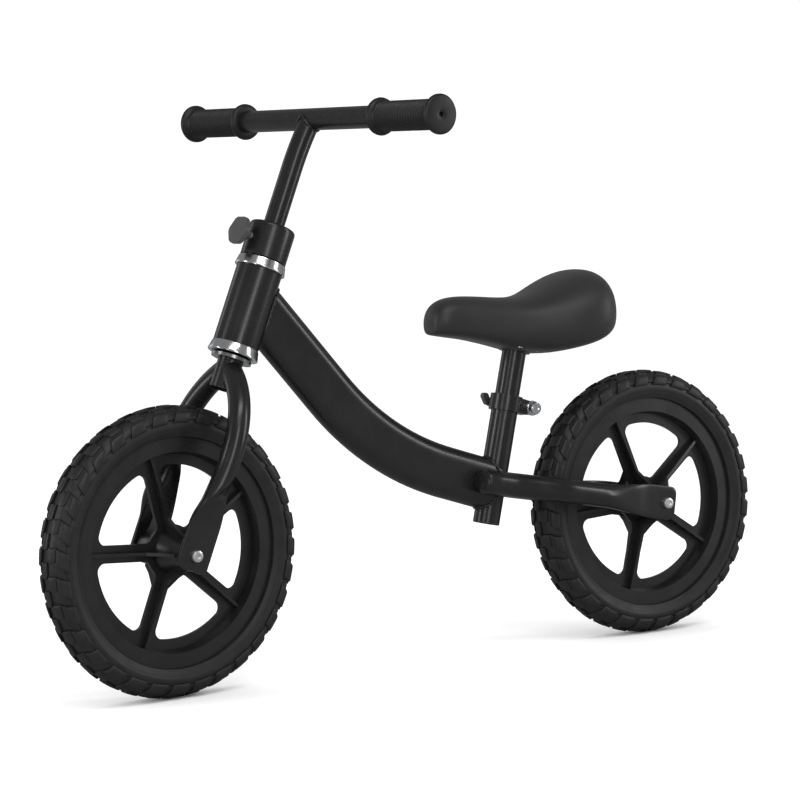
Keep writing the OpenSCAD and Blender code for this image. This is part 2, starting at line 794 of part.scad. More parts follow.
module saddle_screws() {
    color("#8d8f92") in_seat() translate([0, 0, plate_z]) bracket_holes() {
        translate([0, 0, -2.4]) cylinder(r = 4.2, h = 2.4);
        cylinder(r = 2.5, h = plate_t + 4);
    }
}

// Wire staples that hold the cover to the underside of the board
module staple(x, y, turn) {
    for (side = [-1, 1]) translate([x, side * y, -staple_t / 2]) rotate([0, 0, -side * turn])
        cube([8, 0.9, staple_t], center = true);
}

module saddle_staples() {
    color("#a9abae") in_seat() {
        translate([0, 0, board_z]) {
            staple(board_nose - 18, 13.8, 10);
            staple(board_nose - 33, 16.5, 10);
            staple(board_nose - 48, 19.2, 10);
            staple(board_nose - 65, 22.6, 15);
        }
        at_board_tail() {
            staple(-16, board_half() - 1.6, -4);
            staple(-36, board_half() - 0.2, -4);
        }
    }
}

module saddle_waist() {
    translate([waist_x, 0, 336]) scale([1, 1.35, 1]) sphere(r = 34, $fn = 32);
}

// Padded cushion: a narrow nose and a wide raised tail, with a pocket for the board
module saddle_cushion() {
    tail_x = saddle_nose - saddle_len;
    color("#3a3a3b") difference() {
        union() {
            hull() {
                translate([saddle_nose - 14, 0, 343]) sphere(r = 14, $fn = 32);
                translate([saddle_nose - 28, 0, 352.5]) sphere(r = 21.5, $fn = 32);
                saddle_waist();
            }
            hull() {
                saddle_waist();
                for (side = [-1, 1]) translate([tail_x + 48, side * (saddle_w / 2 - 34), 352])
                    sphere(r = 34, $fn = 32);
                translate([tail_x + 36, 0, 362]) sphere(r = 35, $fn = 32);
            }
        }
        in_seat() under_rim();
        in_seat() board_shape(board_tail_len / 2);
    }
}

main_beam();
head_tube();
seat_tube();
chain_stay_left();
chain_stay_right();
headset_cup_upper();
headset_cup_lower();
headset_balls_upper();
headset_balls_lower();
seat_clamp_band();
seat_clamp_skewer();
seat_clamp_nut();
seat_clamp_washers();
seat_clamp_pin();
seat_clamp_lever();
rear_axle();
rear_axle_nuts();
rear_axle_spacers();
fork_steerer();
fork_leg_left();
fork_leg_right();
crown_race();
upper_race_nut();
clamp_collar();
clamp_screw();
clamp_knob();
front_axle();
front_axle_nuts();
front_axle_spacers();
handlebar_stem();
handlebar_tube();
grip_left();
grip_right();
front_rim();
front_tyre();
front_wheel_bearings();
rear_rim();
rear_tyre();
rear_wheel_bearings();
seat_post();
saddle_bracket();
saddle_base();
saddle_screws();
saddle_cushion();
saddle_staples();
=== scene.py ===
"""Looks of a child's balance bike: tubes, foam tyres, moulded rims, saddle, grips and fittings.

Every piece is made in metres, in its own working position, and then set in its place on the
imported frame: X forwards, Y to the rider's left, Z up, origin on the floor between the wheels.
"""

import logging
import math
from dataclasses import dataclass
from enum import Enum
from typing import Iterable, Sequence

import bpy
from mathutils import Matrix, Vector


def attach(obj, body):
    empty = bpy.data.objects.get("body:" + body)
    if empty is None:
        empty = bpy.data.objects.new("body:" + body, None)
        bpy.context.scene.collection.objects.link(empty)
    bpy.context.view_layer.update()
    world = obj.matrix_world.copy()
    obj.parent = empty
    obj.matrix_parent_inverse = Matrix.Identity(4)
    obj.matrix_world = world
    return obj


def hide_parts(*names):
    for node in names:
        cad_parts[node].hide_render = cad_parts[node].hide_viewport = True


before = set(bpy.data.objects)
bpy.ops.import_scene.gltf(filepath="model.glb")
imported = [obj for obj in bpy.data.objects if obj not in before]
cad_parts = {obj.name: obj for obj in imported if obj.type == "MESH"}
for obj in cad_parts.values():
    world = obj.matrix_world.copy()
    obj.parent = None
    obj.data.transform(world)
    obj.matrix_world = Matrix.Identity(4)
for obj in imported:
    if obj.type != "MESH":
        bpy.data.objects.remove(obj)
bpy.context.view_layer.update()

LOG = logging.getLogger("balance_bike")
MM = 0.001
# Vertices closer than this are one, in metres
DOUBLES = 0.00001
Point = tuple[float, float]
Section = tuple[Point, ...]
Piece = bpy.types.Object


# ---- Places ----


def turned(axis: str, degrees: float) -> Matrix:
    """Return a right-handed turn about one of the axes X, Y or Z."""
    return Matrix.Rotation(math.radians(degrees), 4, axis)


def moved(x: float, y: float, z: float) -> Matrix:
    """Return a shift, given in millimetres."""
    return Matrix.Translation(Vector((x, y, z)) * MM)


# Degrees and millimetres
HEAD_LEAN = 23.0
REST_STEER = 5.6
STAY_RISE = 10.1
AXLE_X, AXLE_Z = 291.5, 142.5
BAR_BACK, BAR_HEIGHT = 4.333, 452.9

# Places of the sub-assemblies: each matrix turns their own axes into the frame's.
# The steering axis is Z, from the front axle
HEAD = moved(AXLE_X, 0, AXLE_Z) @ turned("Y", -HEAD_LEAN)
# The head turned by the small angle that the bike stands at
FORK = HEAD @ turned("Z", REST_STEER)
# The handlebar's middle, with the bar along Y
BAR = FORK @ moved(-BAR_BACK, 0, BAR_HEIGHT)
# The wheels stand upright, with their axles along Y
FRONT_WHEEL = FORK @ turned("Y", HEAD_LEAN)
REAR_WHEEL = moved(-AXLE_X, 0, AXLE_Z)
# The chain stays' line is Z, from the rear axle
STAYS = REAR_WHEEL @ turned("Y", 90 - STAY_RISE)


# ---- Finishes ----


def linear(colour: str) -> tuple[float, float, float, float]:
    """Turn an sRGB hex colour into the linear values that shaders take.

    Args:
        colour: Six hex digits.

    Returns:
        Linear red, green and blue, with an alpha of one.
    """
    parts = [int(colour[i : i + 2], 16) / 255 for i in (0, 2, 4)]
    r, g, b = (p / 12.92 if p <= 0.04045 else ((p + 0.055) / 1.055) ** 2.4 for p in parts)
    return (r, g, b, 1.0)


def add_node(
    tree: bpy.types.NodeTree,
    kind: str,
    links: dict | None = None,
    values: dict | None = None,
    **settings: object,
) -> bpy.types.Node:
    """Add a node with its settings, its socket values and the links into it.

    Args:
        tree: Node tree that the node goes in.
        kind: Type name of the node, after ShaderNode.
        links: Output socket that feeds each named input.
        values: Value of each named input that nothing feeds.
        **settings: Attributes of the node itself.

    Returns:
        The new node.
    """
    node = tree.nodes.new(f"ShaderNode{kind}")
    for name, value in settings.items():
        setattr(node, name, value)
    for name, value in (values or {}).items():
        node.inputs[name].default_value = value
    for name, source in (links or {}).items():
        tree.links.new(source, node.inputs[name])
    return node


class Surface(Enum):
    """How a surface was made, which settles the pattern of its relief."""

    SPRAYED = "orange peel of a baked coat"
    MOULDED = "spark-eroded grain of a mould"
    FOAMED = "skin and pores of foam"
    GRAINED = "pebbles and creases of leathercloth"
    TURNED = "fine rings of a lathe"
    SAWN = "long fibres of wood"


# Texture of each relief, its values, the output that gives the height, and its settings
PATTERNS: dict[Surface, tuple[str, dict, str, dict]] = {
    Surface.SPRAYED: ("TexNoise", {"Detail": 2.0}, "Fac", {}),
    Surface.MOULDED: ("TexNoise", {"Detail": 2.0}, "Fac", {}),
    Surface.FOAMED: ("TexVoronoi", {}, "Distance", {"feature": "SMOOTH_F1"}),
    Surface.GRAINED: ("TexVoronoi", {}, "Distance", {"feature": "DISTANCE_TO_EDGE"}),
    Surface.TURNED: ("TexNoise", {"Detail": 3.0}, "Fac", {}),
    Surface.SAWN: ("TexNoise", {"Detail": 3.0}, "Fac", {}),
}
# How many times finer it is drawn along X, Y and Z: rings lie close, and fibres run long
STRETCHES: dict[Surface, tuple[float, float, float]] = {
    Surface.TURNED: (1, 14, 1),
    Surface.SAWN: (0.08, 1, 1),
}


@dataclass(frozen=True)
class Finish:
    """One real material and how its surface was made.

    Grain is the size of the relief's pattern, depth its height, and patch the size of the blotches
    between the two colours, all in millimetres. Roughness wanders by its spread either way.
    """

    name: str
    surface: Surface
    colour: str
    patch_colour: str
    roughness: float
    roughness_spread: float
    grain: float
    depth: float
    metallic: float = 0.0
    ior: float = 1.5
    sheen: float = 0.0
    patch: float = 30.0

    def material(self) -> bpy.types.Material:
        """Build the shader of this finish.

        Returns:
            A material made of procedural nodes on Object coordinates.
        """
        made = bpy.data.materials.get(self.name)
        if made:
            return made
        made = bpy.data.materials.new(self.name)
        made.use_nodes = True
        tree = made.node_tree
        tree.nodes.clear()
        place = add_node(tree, "TexCoord").outputs["Object"]
        blotches = {"Scale": 1 / (self.patch * MM), "Detail": 4.0, "Roughness": 0.6}
        patches = add_node(tree, "TexNoise", {"Vector": place}, blotches).outputs["Fac"]
        tone = add_node(tree, "ValToRGB", {"Fac": patches})
        stops = ((0.35, self.colour), (0.72, self.patch_colour))
        for stop, (position, colour) in zip(tone.color_ramp.elements, stops):
            stop.position, stop.color = position, linear(colour)
        low, high = self.roughness - self.roughness_spread, self.roughness + self.roughness_spread
        spread = {"From Min": 0.3, "From Max": 0.7, "To Min": low, "To Max": high}
        gloss = add_node(tree, "MapRange", {"Value": patches}, spread).outputs["Result"]
        bump = {"Strength": 1.0, "Distance": self.depth * MM}
        relief = add_node(tree, "Bump", {"Height": self._relief(tree, place)}, bump).outputs["Normal"]
        links = {"Base Color": tone.outputs["Color"], "Roughness": gloss, "Normal": relief}
        values = {"Metallic": self.metallic, "IOR": self.ior, "Sheen Weight": self.sheen}
        shader = add_node(tree, "BsdfPrincipled", links, values).outputs["BSDF"]
        add_node(tree, "OutputMaterial", {"Surface": shader})
        return made

    def _relief(self, tree: bpy.types.NodeTree, place: bpy.types.NodeSocket) -> bpy.types.NodeSocket:
        """Add the pattern of the surface's relief.

        Args:
            tree: Node tree of the material.
            place: Object coordinates.

        Returns:
            Socket that gives the relief's height, from 0 to 1.
        """
        kind, values, output, settings = PATTERNS[self.surface]
        if self.surface in STRETCHES:
            stretch = {"Scale": STRETCHES[self.surface]}
            place = add_node(tree, "Mapping", {"Vector": place}, stretch).outputs["Vector"]
        values = {"Scale": 1 / (self.grain * MM), **values}
        height = add_node(tree, kind, {"Vector": place}, values, **settings).outputs[output]
        if self.surface is Surface.GRAINED:
            creases = add_node(tree, "MapRange", {"Value": height}, {"From Max": 0.25})
            creases.interpolation_type = "SMOOTHSTEP"
            return creases.outputs["Result"]
        return height


# Polyester powder baked on steel: a satin black with soft highlights and a faint orange peel
POWDER_COAT = Finish("powder_coated_steel", Surface.SPRAYED, "131314", "171718", 0.26, 0.03, 2.2, 0.007)
# Nickel-chrome plate on a turned cup: bright, a little blurred by very fine rings
CHROME = Finish(
    "chrome_plated_steel", Surface.TURNED, "e6e7e9", "dcdee0", 0.17, 0.04, 0.8, 0.004,
    metallic=1.0,
)
# Zinc plate on steel: bright and slightly clouded
ZINC = Finish(
    "zinc_plated_steel", Surface.TURNED, "f4f4f5", "e6e7e8", 0.34, 0.05, 0.7, 0.01,
    metallic=1.0, patch=4.0,
)
# Glass-filled nylon from a mould: satin black with a soft grain
NYLON = Finish("moulded_nylon", Surface.MOULDED, "121213", "171718", 0.3, 0.04, 1.1, 0.02, ior=1.53)
# Closed-cell EVA foam with its moulded skin: matte charcoal, finely pitted
EVA_FOAM = Finish(
    "moulded_eva_foam", Surface.FOAMED, "121212", "181818", 0.48, 0.06, 1.4, 0.05, patch=14.0
)
# Soft rubber sleeve: matte black
GRIP_RUBBER = Finish(
    "moulded_grip_rubber", Surface.MOULDED, "0a0a0b", "0f0f10", 0.46, 0.05, 0.9, 0.015, patch=12.0
)
# ABS knob and lever: dark grey with a satin mould finish
ABS = Finish("moulded_abs", Surface.MOULDED, "363638", "3e3e40", 0.42, 0.05, 0.8, 0.02, ior=1.54)
# Polyurethane leathercloth over foam: a soft charcoal, lighter than the tubes, with a low grain
LEATHERCLOTH = Finish(
    "polyurethane_leathercloth", Surface.GRAINED, "191919", "1d1d1c", 0.46, 0.04, 1.5, 0.03,
    sheen=0.05, patch=40.0,
)
# Birch plywood stained dark brown
PLYWOOD = Finish("stained_plywood", Surface.SAWN, "2c241f", "3a2f27", 0.7, 0.05, 1.2, 0.06, patch=8.0)
# Hardened bearing steel, ground and oiled
BEARING_STEEL = Finish(
    "ground_bearing_steel", Surface.TURNED, "8f9194", "a2a4a7", 0.25, 0.05, 0.6, 0.005,
    metallic=1.0, patch=5.0,
)
# Painted floor of a light studio
FLOOR = Finish("matt_floor_paint", Surface.SPRAYED, "fdfdfd", "ffffff", 0.7, 0.05, 3.0, 0.02, patch=300.0)

NODE_FINISHES: dict[Finish, tuple[str, ...]] = {
    POWDER_COAT: (
        "main_beam", "head_tube", "seat_tube", "chain_stay_left", "chain_stay_right",
        "seat_clamp_band", "fork_steerer", "fork_leg_left", "fork_leg_right", "clamp_collar",
        "handlebar_stem", "handlebar_tube", "seat_post", "saddle_bracket",
    ),
    CHROME: ("headset_cup_upper", "headset_cup_lower", "seat_clamp_nut", "seat_clamp_washers"),
    ZINC: (
        "seat_clamp_skewer", "seat_clamp_pin", "rear_axle", "rear_axle_nuts", "rear_axle_spacers",
        "clamp_screw", "front_axle", "front_axle_nuts", "front_axle_spacers", "saddle_screws",
        "saddle_staples",
    ),
    BEARING_STEEL: (
        "headset_balls_upper", "headset_balls_lower", "crown_race", "upper_race_nut",
        "front_wheel_bearings", "rear_wheel_bearings",
    ),
    NYLON: ("front_rim", "rear_rim"),
    EVA_FOAM: ("front_tyre", "rear_tyre"),
    GRIP_RUBBER: ("grip_left", "grip_right"),
    ABS: ("clamp_knob", "seat_clamp_lever"),
    LEATHERCLOTH: ("saddle_cushion",),
    PLYWOOD: ("saddle_base",),
}


# ---- Bench: the steps that the pieces are modelled with ----


def clear() -> None:
    """Leave edit mode with nothing selected."""
    if bpy.context.mode != "OBJECT":
        bpy.ops.object.mode_set(mode="OBJECT")
    bpy.ops.object.select_all(action="DESELECT")


def take(piece: Piece) -> None:
    """Select one piece alone, in object mode, and make it the active one.

    Args:
        piece: Piece to select.
    """
    clear()
    piece.select_set(True)
    bpy.context.view_layer.objects.active = piece


def edit(piece: Piece) -> None:
    """Open a piece in edit mode with everything selected.

    Args:
        piece: Piece to open.
    """
    take(piece)
    bpy.ops.object.mode_set(mode="EDIT")
    bpy.ops.mesh.select_all(action="SELECT")


def label(piece: Piece, name: str) -> Piece:
    """Name a piece and its mesh, and return it."""
    piece.name = piece.data.name = name
    return piece


def begin(name: str) -> Piece:
    """Name the primitive just added, put its place in its mesh and open it.

    Args:
        name: Name of the piece.

    Returns:
        The piece, in edit mode with everything selected.
    """
    piece = label(bpy.context.active_object, name)
    bpy.ops.object.transform_apply(location=True, rotation=True, scale=True)
    edit(piece)
    return piece


def chain(name: str, points: Sequence[Vector], closed: bool = False) -> Piece:
    """Draw a chain of edges by extruding one vertex from point to point.

    Args:
        name: Name of the piece.
        points: Corners of the chain, in metres.
        closed: Whether the chain ends where it began, with a face in it.

    Returns:
        The piece, in edit mode with everything selected.
    """
    clear()
    bpy.ops.mesh.primitive_plane_add(size=MM, location=points[0])
    piece = begin(name)
    bpy.ops.mesh.merge(type="CENTER")
    for start, end in zip(points, points[1:]):
        bpy.ops.mesh.extrude_region_move(TRANSFORM_OT_translate={"value": end - start})
    bpy.ops.mesh.select_all(action="SELECT")
    if closed:
        bpy.ops.mesh.edge_face_add()
    return piece


def spin(steps: int, axis: tuple[float, float, float], angle: float = math.tau) -> None:
    """Spin what is selected about an axis through the origin, as on a lathe, and weld it."""
    bpy.ops.mesh.spin(steps=steps, angle=angle, center=(0, 0, 0), axis=axis)
    weld()


def close(bridge: bool = False) -> None:
    """Close the mesh in edit mode and weld it.

    Args:
        bridge: Whether its two open edges are bridged, rather than each one capped.
    """
    bpy.ops.mesh.select_all(action="DESELECT")
    bpy.ops.mesh.select_mode(type="EDGE")
    bpy.ops.mesh.select_non_manifold()
    if bridge:
        bpy.ops.mesh.bridge_edge_loops()
    else:
        bpy.ops.mesh.fill_holes(sides=0)
    weld()


def weld() -> None:
    """Merge doubled vertices and point the faces outwards."""
    bpy.ops.mesh.select_mode(type="VERT")
    bpy.ops.mesh.select_all(action="SELECT")
    bpy.ops.mesh.remove_doubles(threshold=DOUBLES)
    bpy.ops.mesh.normals_make_consistent(inside=False)


def modify(piece: Piece, kind: str, **settings: object) -> None:
    """Add a modifier to a piece in object mode and apply it.

    Args:
        piece: Piece to change.
        kind: Blender's name for the modifier.
        **settings: Attributes of the modifier.
    """
    modifier = piece.modifiers.new(kind.lower(), kind)
    for name, value in settings.items():
        setattr(modifier, name, value)
    bpy.context.view_layer.objects.active = piece
    bpy.ops.object.modifier_apply(modifier=modifier.name)


def join(name: str, pieces: Sequence[Piece]) -> Piece:
    """Join pieces into the first of them.

    Args:
        name: Name of the joined piece.
        pieces: Pieces to join.

    Returns:
        The joined piece.
    """
    clear()
    for piece in pieces:
        piece.select_set(True)
    bpy.context.view_layer.objects.active = pieces[0]
    bpy.ops.object.join()
    return label(pieces[0], name)


def copy(piece: Piece, name: str) -> Piece:
    """Copy a piece with a mesh of its own.

    Args:
        piece: Piece to copy.
        name: Name of the copy.

    Returns:
        The copy.
    """
    take(piece)
    bpy.ops.object.duplicate(linked=False)
    return label(bpy.context.active_object, name)


def twin(piece: Piece, name: str) -> Piece:
    """Copy a piece as its mirror image across its own XZ plane.

    Args:
        piece: Left-hand piece.
        name: Name of the right-hand one.

    Returns:
        The right-hand piece, its faces outwards.
    """
    right = copy(piece, name)
    edit(right)
    bpy.ops.transform.resize(value=(1, -1, 1), center_override=(0, 0, 0))
    bpy.ops.mesh.normals_make_consistent(inside=False)
    clear()
    return right


def smooth(piece: Piece, degrees: float) -> None:
    """Shade a piece smoothly, with creases where its faces meet at a sharper angle."""
    take(piece)
    bpy.ops.object.shade_smooth_by_angle(angle=math.radians(degrees))


def dress(piece: Piece, finish: Finish) -> None:
    """Give a whole piece one finish."""
    piece.data.materials.clear()
    piece.data.materials.append(finish.material())


def settle(
    piece: Piece,
    body: str,
    finish: Finish,
    nodes: Iterable[str] = (),
    where: Matrix | None = None,
) -> None:
    """Dress a finished piece, hang it on its body and hide the CAD nodes that it stands for.

    Args:
        piece: Finished piece.
        body: Body that it rides on.
        finish: What it is made of.
        nodes: CAD nodes that it replaces.
        where: Place to move it to, unless it is in place already.
    """
    if where is not None:
        take(piece)
        piece.matrix_world = where
        bpy.ops.object.transform_apply(location=True, rotation=True, scale=True)
    clear()
    dress(piece, finish)
    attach(piece, body)
    if nodes:
        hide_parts(*nodes)
    LOG.info("%s: %d faces, rides on %s", piece.name, len(piece.data.polygons), body)


def settle_pair(
    left: Piece, body: str, finish: Finish, node: str, where: Matrix
) -> None:
    """Make the mirror image of a left-hand piece, and settle both.

    Args:
        left: Piece whose name ends in left.
        body: Body that both ride on.
        finish: What they are made of.
        node: Name of the CAD nodes that they replace, without its left or right.
        where: Place of the pair.
    """
    right = twin(left, left.name.replace("left", "right"))
    settle(left, body, finish, [f"{node}_left"], where)
    settle(right, body, finish, [f"{node}_right"], where)


def dress_nodes() -> None:
    """Give every CAD node the finish of what it is made of."""
    for finish, names in NODE_FINISHES.items():
        for name in names:
            dress(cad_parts[name], finish)
    LOG.info("%d nodes dressed", sum(len(names) for names in NODE_FINISHES.values()))


# ---- Wheels ----


@dataclass(frozen=True)
class Lug:
    """One block of the tread, as a cross-section spun through a short angle.

    Section points are (distance from the axle, distance from the middle plane) in millimetres.
    Flare is how much longer the block grows for each millimetre towards the axle.
    """

    name: str
    section: Section
    length: float
    phase: float
    point: float = 0.0
    slant: float = 0.0
    flare: float = 0.0


@dataclass
class Tyre:
    """Foam tyre: a carcass with rows of raised blocks, each block modelled once and repeated."""

    radius: float = 142.5
    half_width: float = 21.0
    shoulder_drop: float = 11.9
    crown_power: float = 2.4
    pitches: int = 32
    carcass_steps: int = 128
    lug_steps: int = 3
    lug_edge: float = 1.1
    lug_taper: float = 0.6
    sharp_radians: float = 0.6
    bed: Section = (
        (140.2, 0.0), (139.7, 4.0), (138.4, 8.0), (136.4, 11.5), (133.6, 14.6), (130.4, 17.0),
        (127.2, 18.6),
    )
    bead: Section = (
        (124.8, 19.4), (121.4, 19.3), (120.4, 19.0), (119.6, 18.6), (118.8, 18.5), (116.2, 17.7),
        (114.0, 16.3), (112.6, 15.8), (111.8, 12.6),
    )
    foot: Section = ((111.8, 10.0), (100.0, 10.0))

    def crown(self, y: float, drop: float = 0.0) -> float:
        """Return the tread's radius at a distance from the middle plane, less a drop."""
        return self.radius - self.shoulder_drop * abs(y / self.half_width) ** self.crown_power - drop

    def carcass(self) -> Piece:
        """Spin the tyre's section, which lies at the bottom of the grooves.

        Returns:
            The tyre without its blocks.
        """
        half = [*self.bed, *self.bead, *self.foot]
        section = [*reversed([(r, -y) for r, y in half[1:]]), *half]
        piece = chain("carcass", [Vector((r, y, 0)) * MM for r, y in section])
        spin(self.carcass_steps, (0, 1, 0))
        # The bridge is the wall that stands in the rim's channel
        close(bridge=True)
        clear()
        return piece

    def strip(self, start: float, end: float, depth: float) -> Section:
        """Give a block's section that follows the crown.

        Args:
            start: Distance of its near edge from the middle plane.
            end: Distance of its far edge.
            depth: How far it reaches into the carcass.

        Returns:
            The section's corners.
        """
        top = tuple((self.crown(y), y) for y in (start, (start + end) / 2, end))
        feet = (end - self.lug_taper, start + self.lug_taper)
        return (*top, *((self.crown(y, depth), foot) for y, foot in zip((end, start), feet)))

    def lugs(self) -> tuple[Lug, ...]:
        """Describe one pitch of the tread.

        Returns:
            The blocks on its middle and on its near side.
        """
        side = (
            (self.crown(13.9), 13.9), (self.crown(16.6), 16.6), (136.6, 18.4), (134.2, 19.6),
            (130.6, 20.7), (127.2, 20.7), (126.2, 19.4), (127.5, 16.0), (132.0, 13.4),
        )
        valley = (
            (self.crown(9.8, 0.9), 9.8), (self.crown(12.6, 1.3), 12.6), (self.crown(15.2, 1.9), 15.2),
            (132.4, 17.8), (129.4, 19.1), (128.2, 16.5), (133.5, 10.6),
        )
        return (
            Lug("middle", self.strip(-4.3, 4.3, 4.0), 15.2, 0.5, point=2.2),
            Lug("inner", self.strip(5.3, 13.2, 4.4), 14.2, 0.0, point=2.4),
            Lug("shoulder", side, 14.6, 0.0, slant=1.6, flare=0.026),
            Lug("valley", valley, 13.4, 0.5, slant=3.6, flare=0.012),
        )

    def block(self, lug: Lug) -> Piece:
        """Model one block: spin its section, then push its ends to a point or a slant.

        Args:
            lug: The block's section, length and shape.

        Returns:
            The block, with rounded edges.
        """
        half_turn = lug.length / self.radius / 2
        section = [Vector((r, y, 0)) * MM for r, y in lug.section]
        piece = chain(f"lug_{lug.name}", section, closed=True)
        spin(self.lug_steps, (0, -1, 0), 2 * half_turn)
        widths = [y for _, y in lug.section]
        middle = (max(widths) + min(widths)) / 2 * MM
        reach = (max(widths) - min(widths)) / 2 * MM
        clear()
        for vertex in piece.data.vertices:
            out = math.hypot(vertex.co.x, vertex.co.z)
            along = math.atan2(vertex.co.z, vertex.co.x) - half_turn
            along *= 1 + lug.flare * (self.radius - out / MM)
            across = (vertex.co.y - middle) / reach
            end = max(-1.0, min(1.0, along / half_turn))
            push = lug.point * (0.5 - abs(across)) * end - lug.slant * across
            wanted = lug.phase * math.tau / self.pitches + along + push / self.radius
            vertex.co = Vector((out * math.cos(wanted), vertex.co.y, out * math.sin(wanted)))
        edge = {"width": self.lug_edge * MM, "segments": 2}
        modify(piece, "BEVEL", limit_method="ANGLE", angle_limit=self.sharp_radians, **edge)
        return piece

    def tread(self) -> Piece:
        """Model one pitch on both sides and repeat it round the tyre.

        Returns:
            All the blocks as one piece.
        """
        blocks = []
        for lug in self.lugs():
            block = self.block(lug)
            blocks.append(block)
            if lug.name != "middle":
                blocks.append(twin(block, f"{block.name}_far"))
        pitch = join("tread", blocks)
        clear()
        bpy.ops.object.empty_add(location=(0, 0, 0), rotation=(0, -math.tau / self.pitches, 0))
        step = bpy.context.active_object
        offset = {"use_relative_offset": False, "use_object_offset": True, "offset_object": step}
        modify(pitch, "ARRAY", count=self.pitches, **offset)
        bpy.data.objects.remove(step)
        return pitch

    def build(self, end: str, turn: float, where: Matrix) -> None:
        """Make the whole tyre in its place.

        Args:
            end: Which end of the bike it is at, front or rear.
            turn: Angle of the tread from straight ahead, in degrees.
            where: The wheel's place.
        """
        piece = join(f"treaded_tyre_{end}", [self.carcass(), self.tread()])
        smooth(piece, 32)
        place = where @ turned("Y", -turn)
        settle(piece, f"{end}_wheel", EVA_FOAM, [f"{end}_tyre"], place)


# ---- Handlebar grips ----


@dataclass
class Grip:
    """Rubber sleeve with fine rings, a flange at each end and a small hole in its tip."""

    half_bar: float = 203.0
    length: float = 95.0
    body_radius: float = 15.0
    inner_flange: float = 18.5
    outer_flange: float = 19.25
    bar_radius: float = 11.1
    ring_pitch: float = 3.9
    ring_depth: float = 1.3
    ring_land: float = 0.15
    ring_start: float = 9.0
    ring_end: float = 11.0
    hole_radius: float = 2.4
    steps: int = 48

    def profile(self) -> list[Point]:
        """Draw the outside, from the tip's hole to the flange at the other end.

        Returns:
            The radius and the distance from the tip of each corner.
        """
        tip, body, flange, end = self.outer_flange, self.body_radius, self.inner_flange, self.length
        points = [
            (self.hole_radius, 3.4), (self.hole_radius, 0.5), (3.0, 0.1), (6.5, 0.0), (tip - 2.6, 0.0),
            (tip - 1.0, 0.5), (tip, 1.8), (tip, 3.8), (tip - 1.0, 5.2), (body + 0.9, 6.0), (body, 7.4),
        ]
        along = self.ring_start
        while along < end - self.ring_end:
            for i, drop in enumerate([self.ring_depth] * 2 + [self.ring_land] * 2):
                points.append((body - drop, along + 0.25 * i * self.ring_pitch))
            along += self.ring_pitch
        return points + [
            (body, end - 8.6), (body + 0.8, end - 7.2), (flange - 1.6, end - 6.3),
            (flange - 0.3, end - 5.2), (flange, end - 4.0), (flange - 0.3, end - 2.4),
            (flange - 2.0, end - 0.9), (self.bar_radius + 2.5, end), (self.bar_radius, end),
            (self.bar_radius, end - 3.0),
        ]

    def build(self) -> None:
        """Make both grips on the bar."""
        points = [Vector((r, self.half_bar - d, 0)) * MM for r, d in self.profile()]
        left = chain("ringed_grip_left", points)
        spin(self.steps, (0, 1, 0))
        close()
        smooth(left, 40)
        settle_pair(left, "handlebar", GRIP_RUBBER, "grip", BAR)


# ---- Tubes bent and pressed flat ----


def eased(share: float) -> float:
    """Ease a share from 0 to 1 in and out, and hold it within those limits."""
    share = min(1.0, max(0.0, share))
    return share * share * (3 - 2 * share)


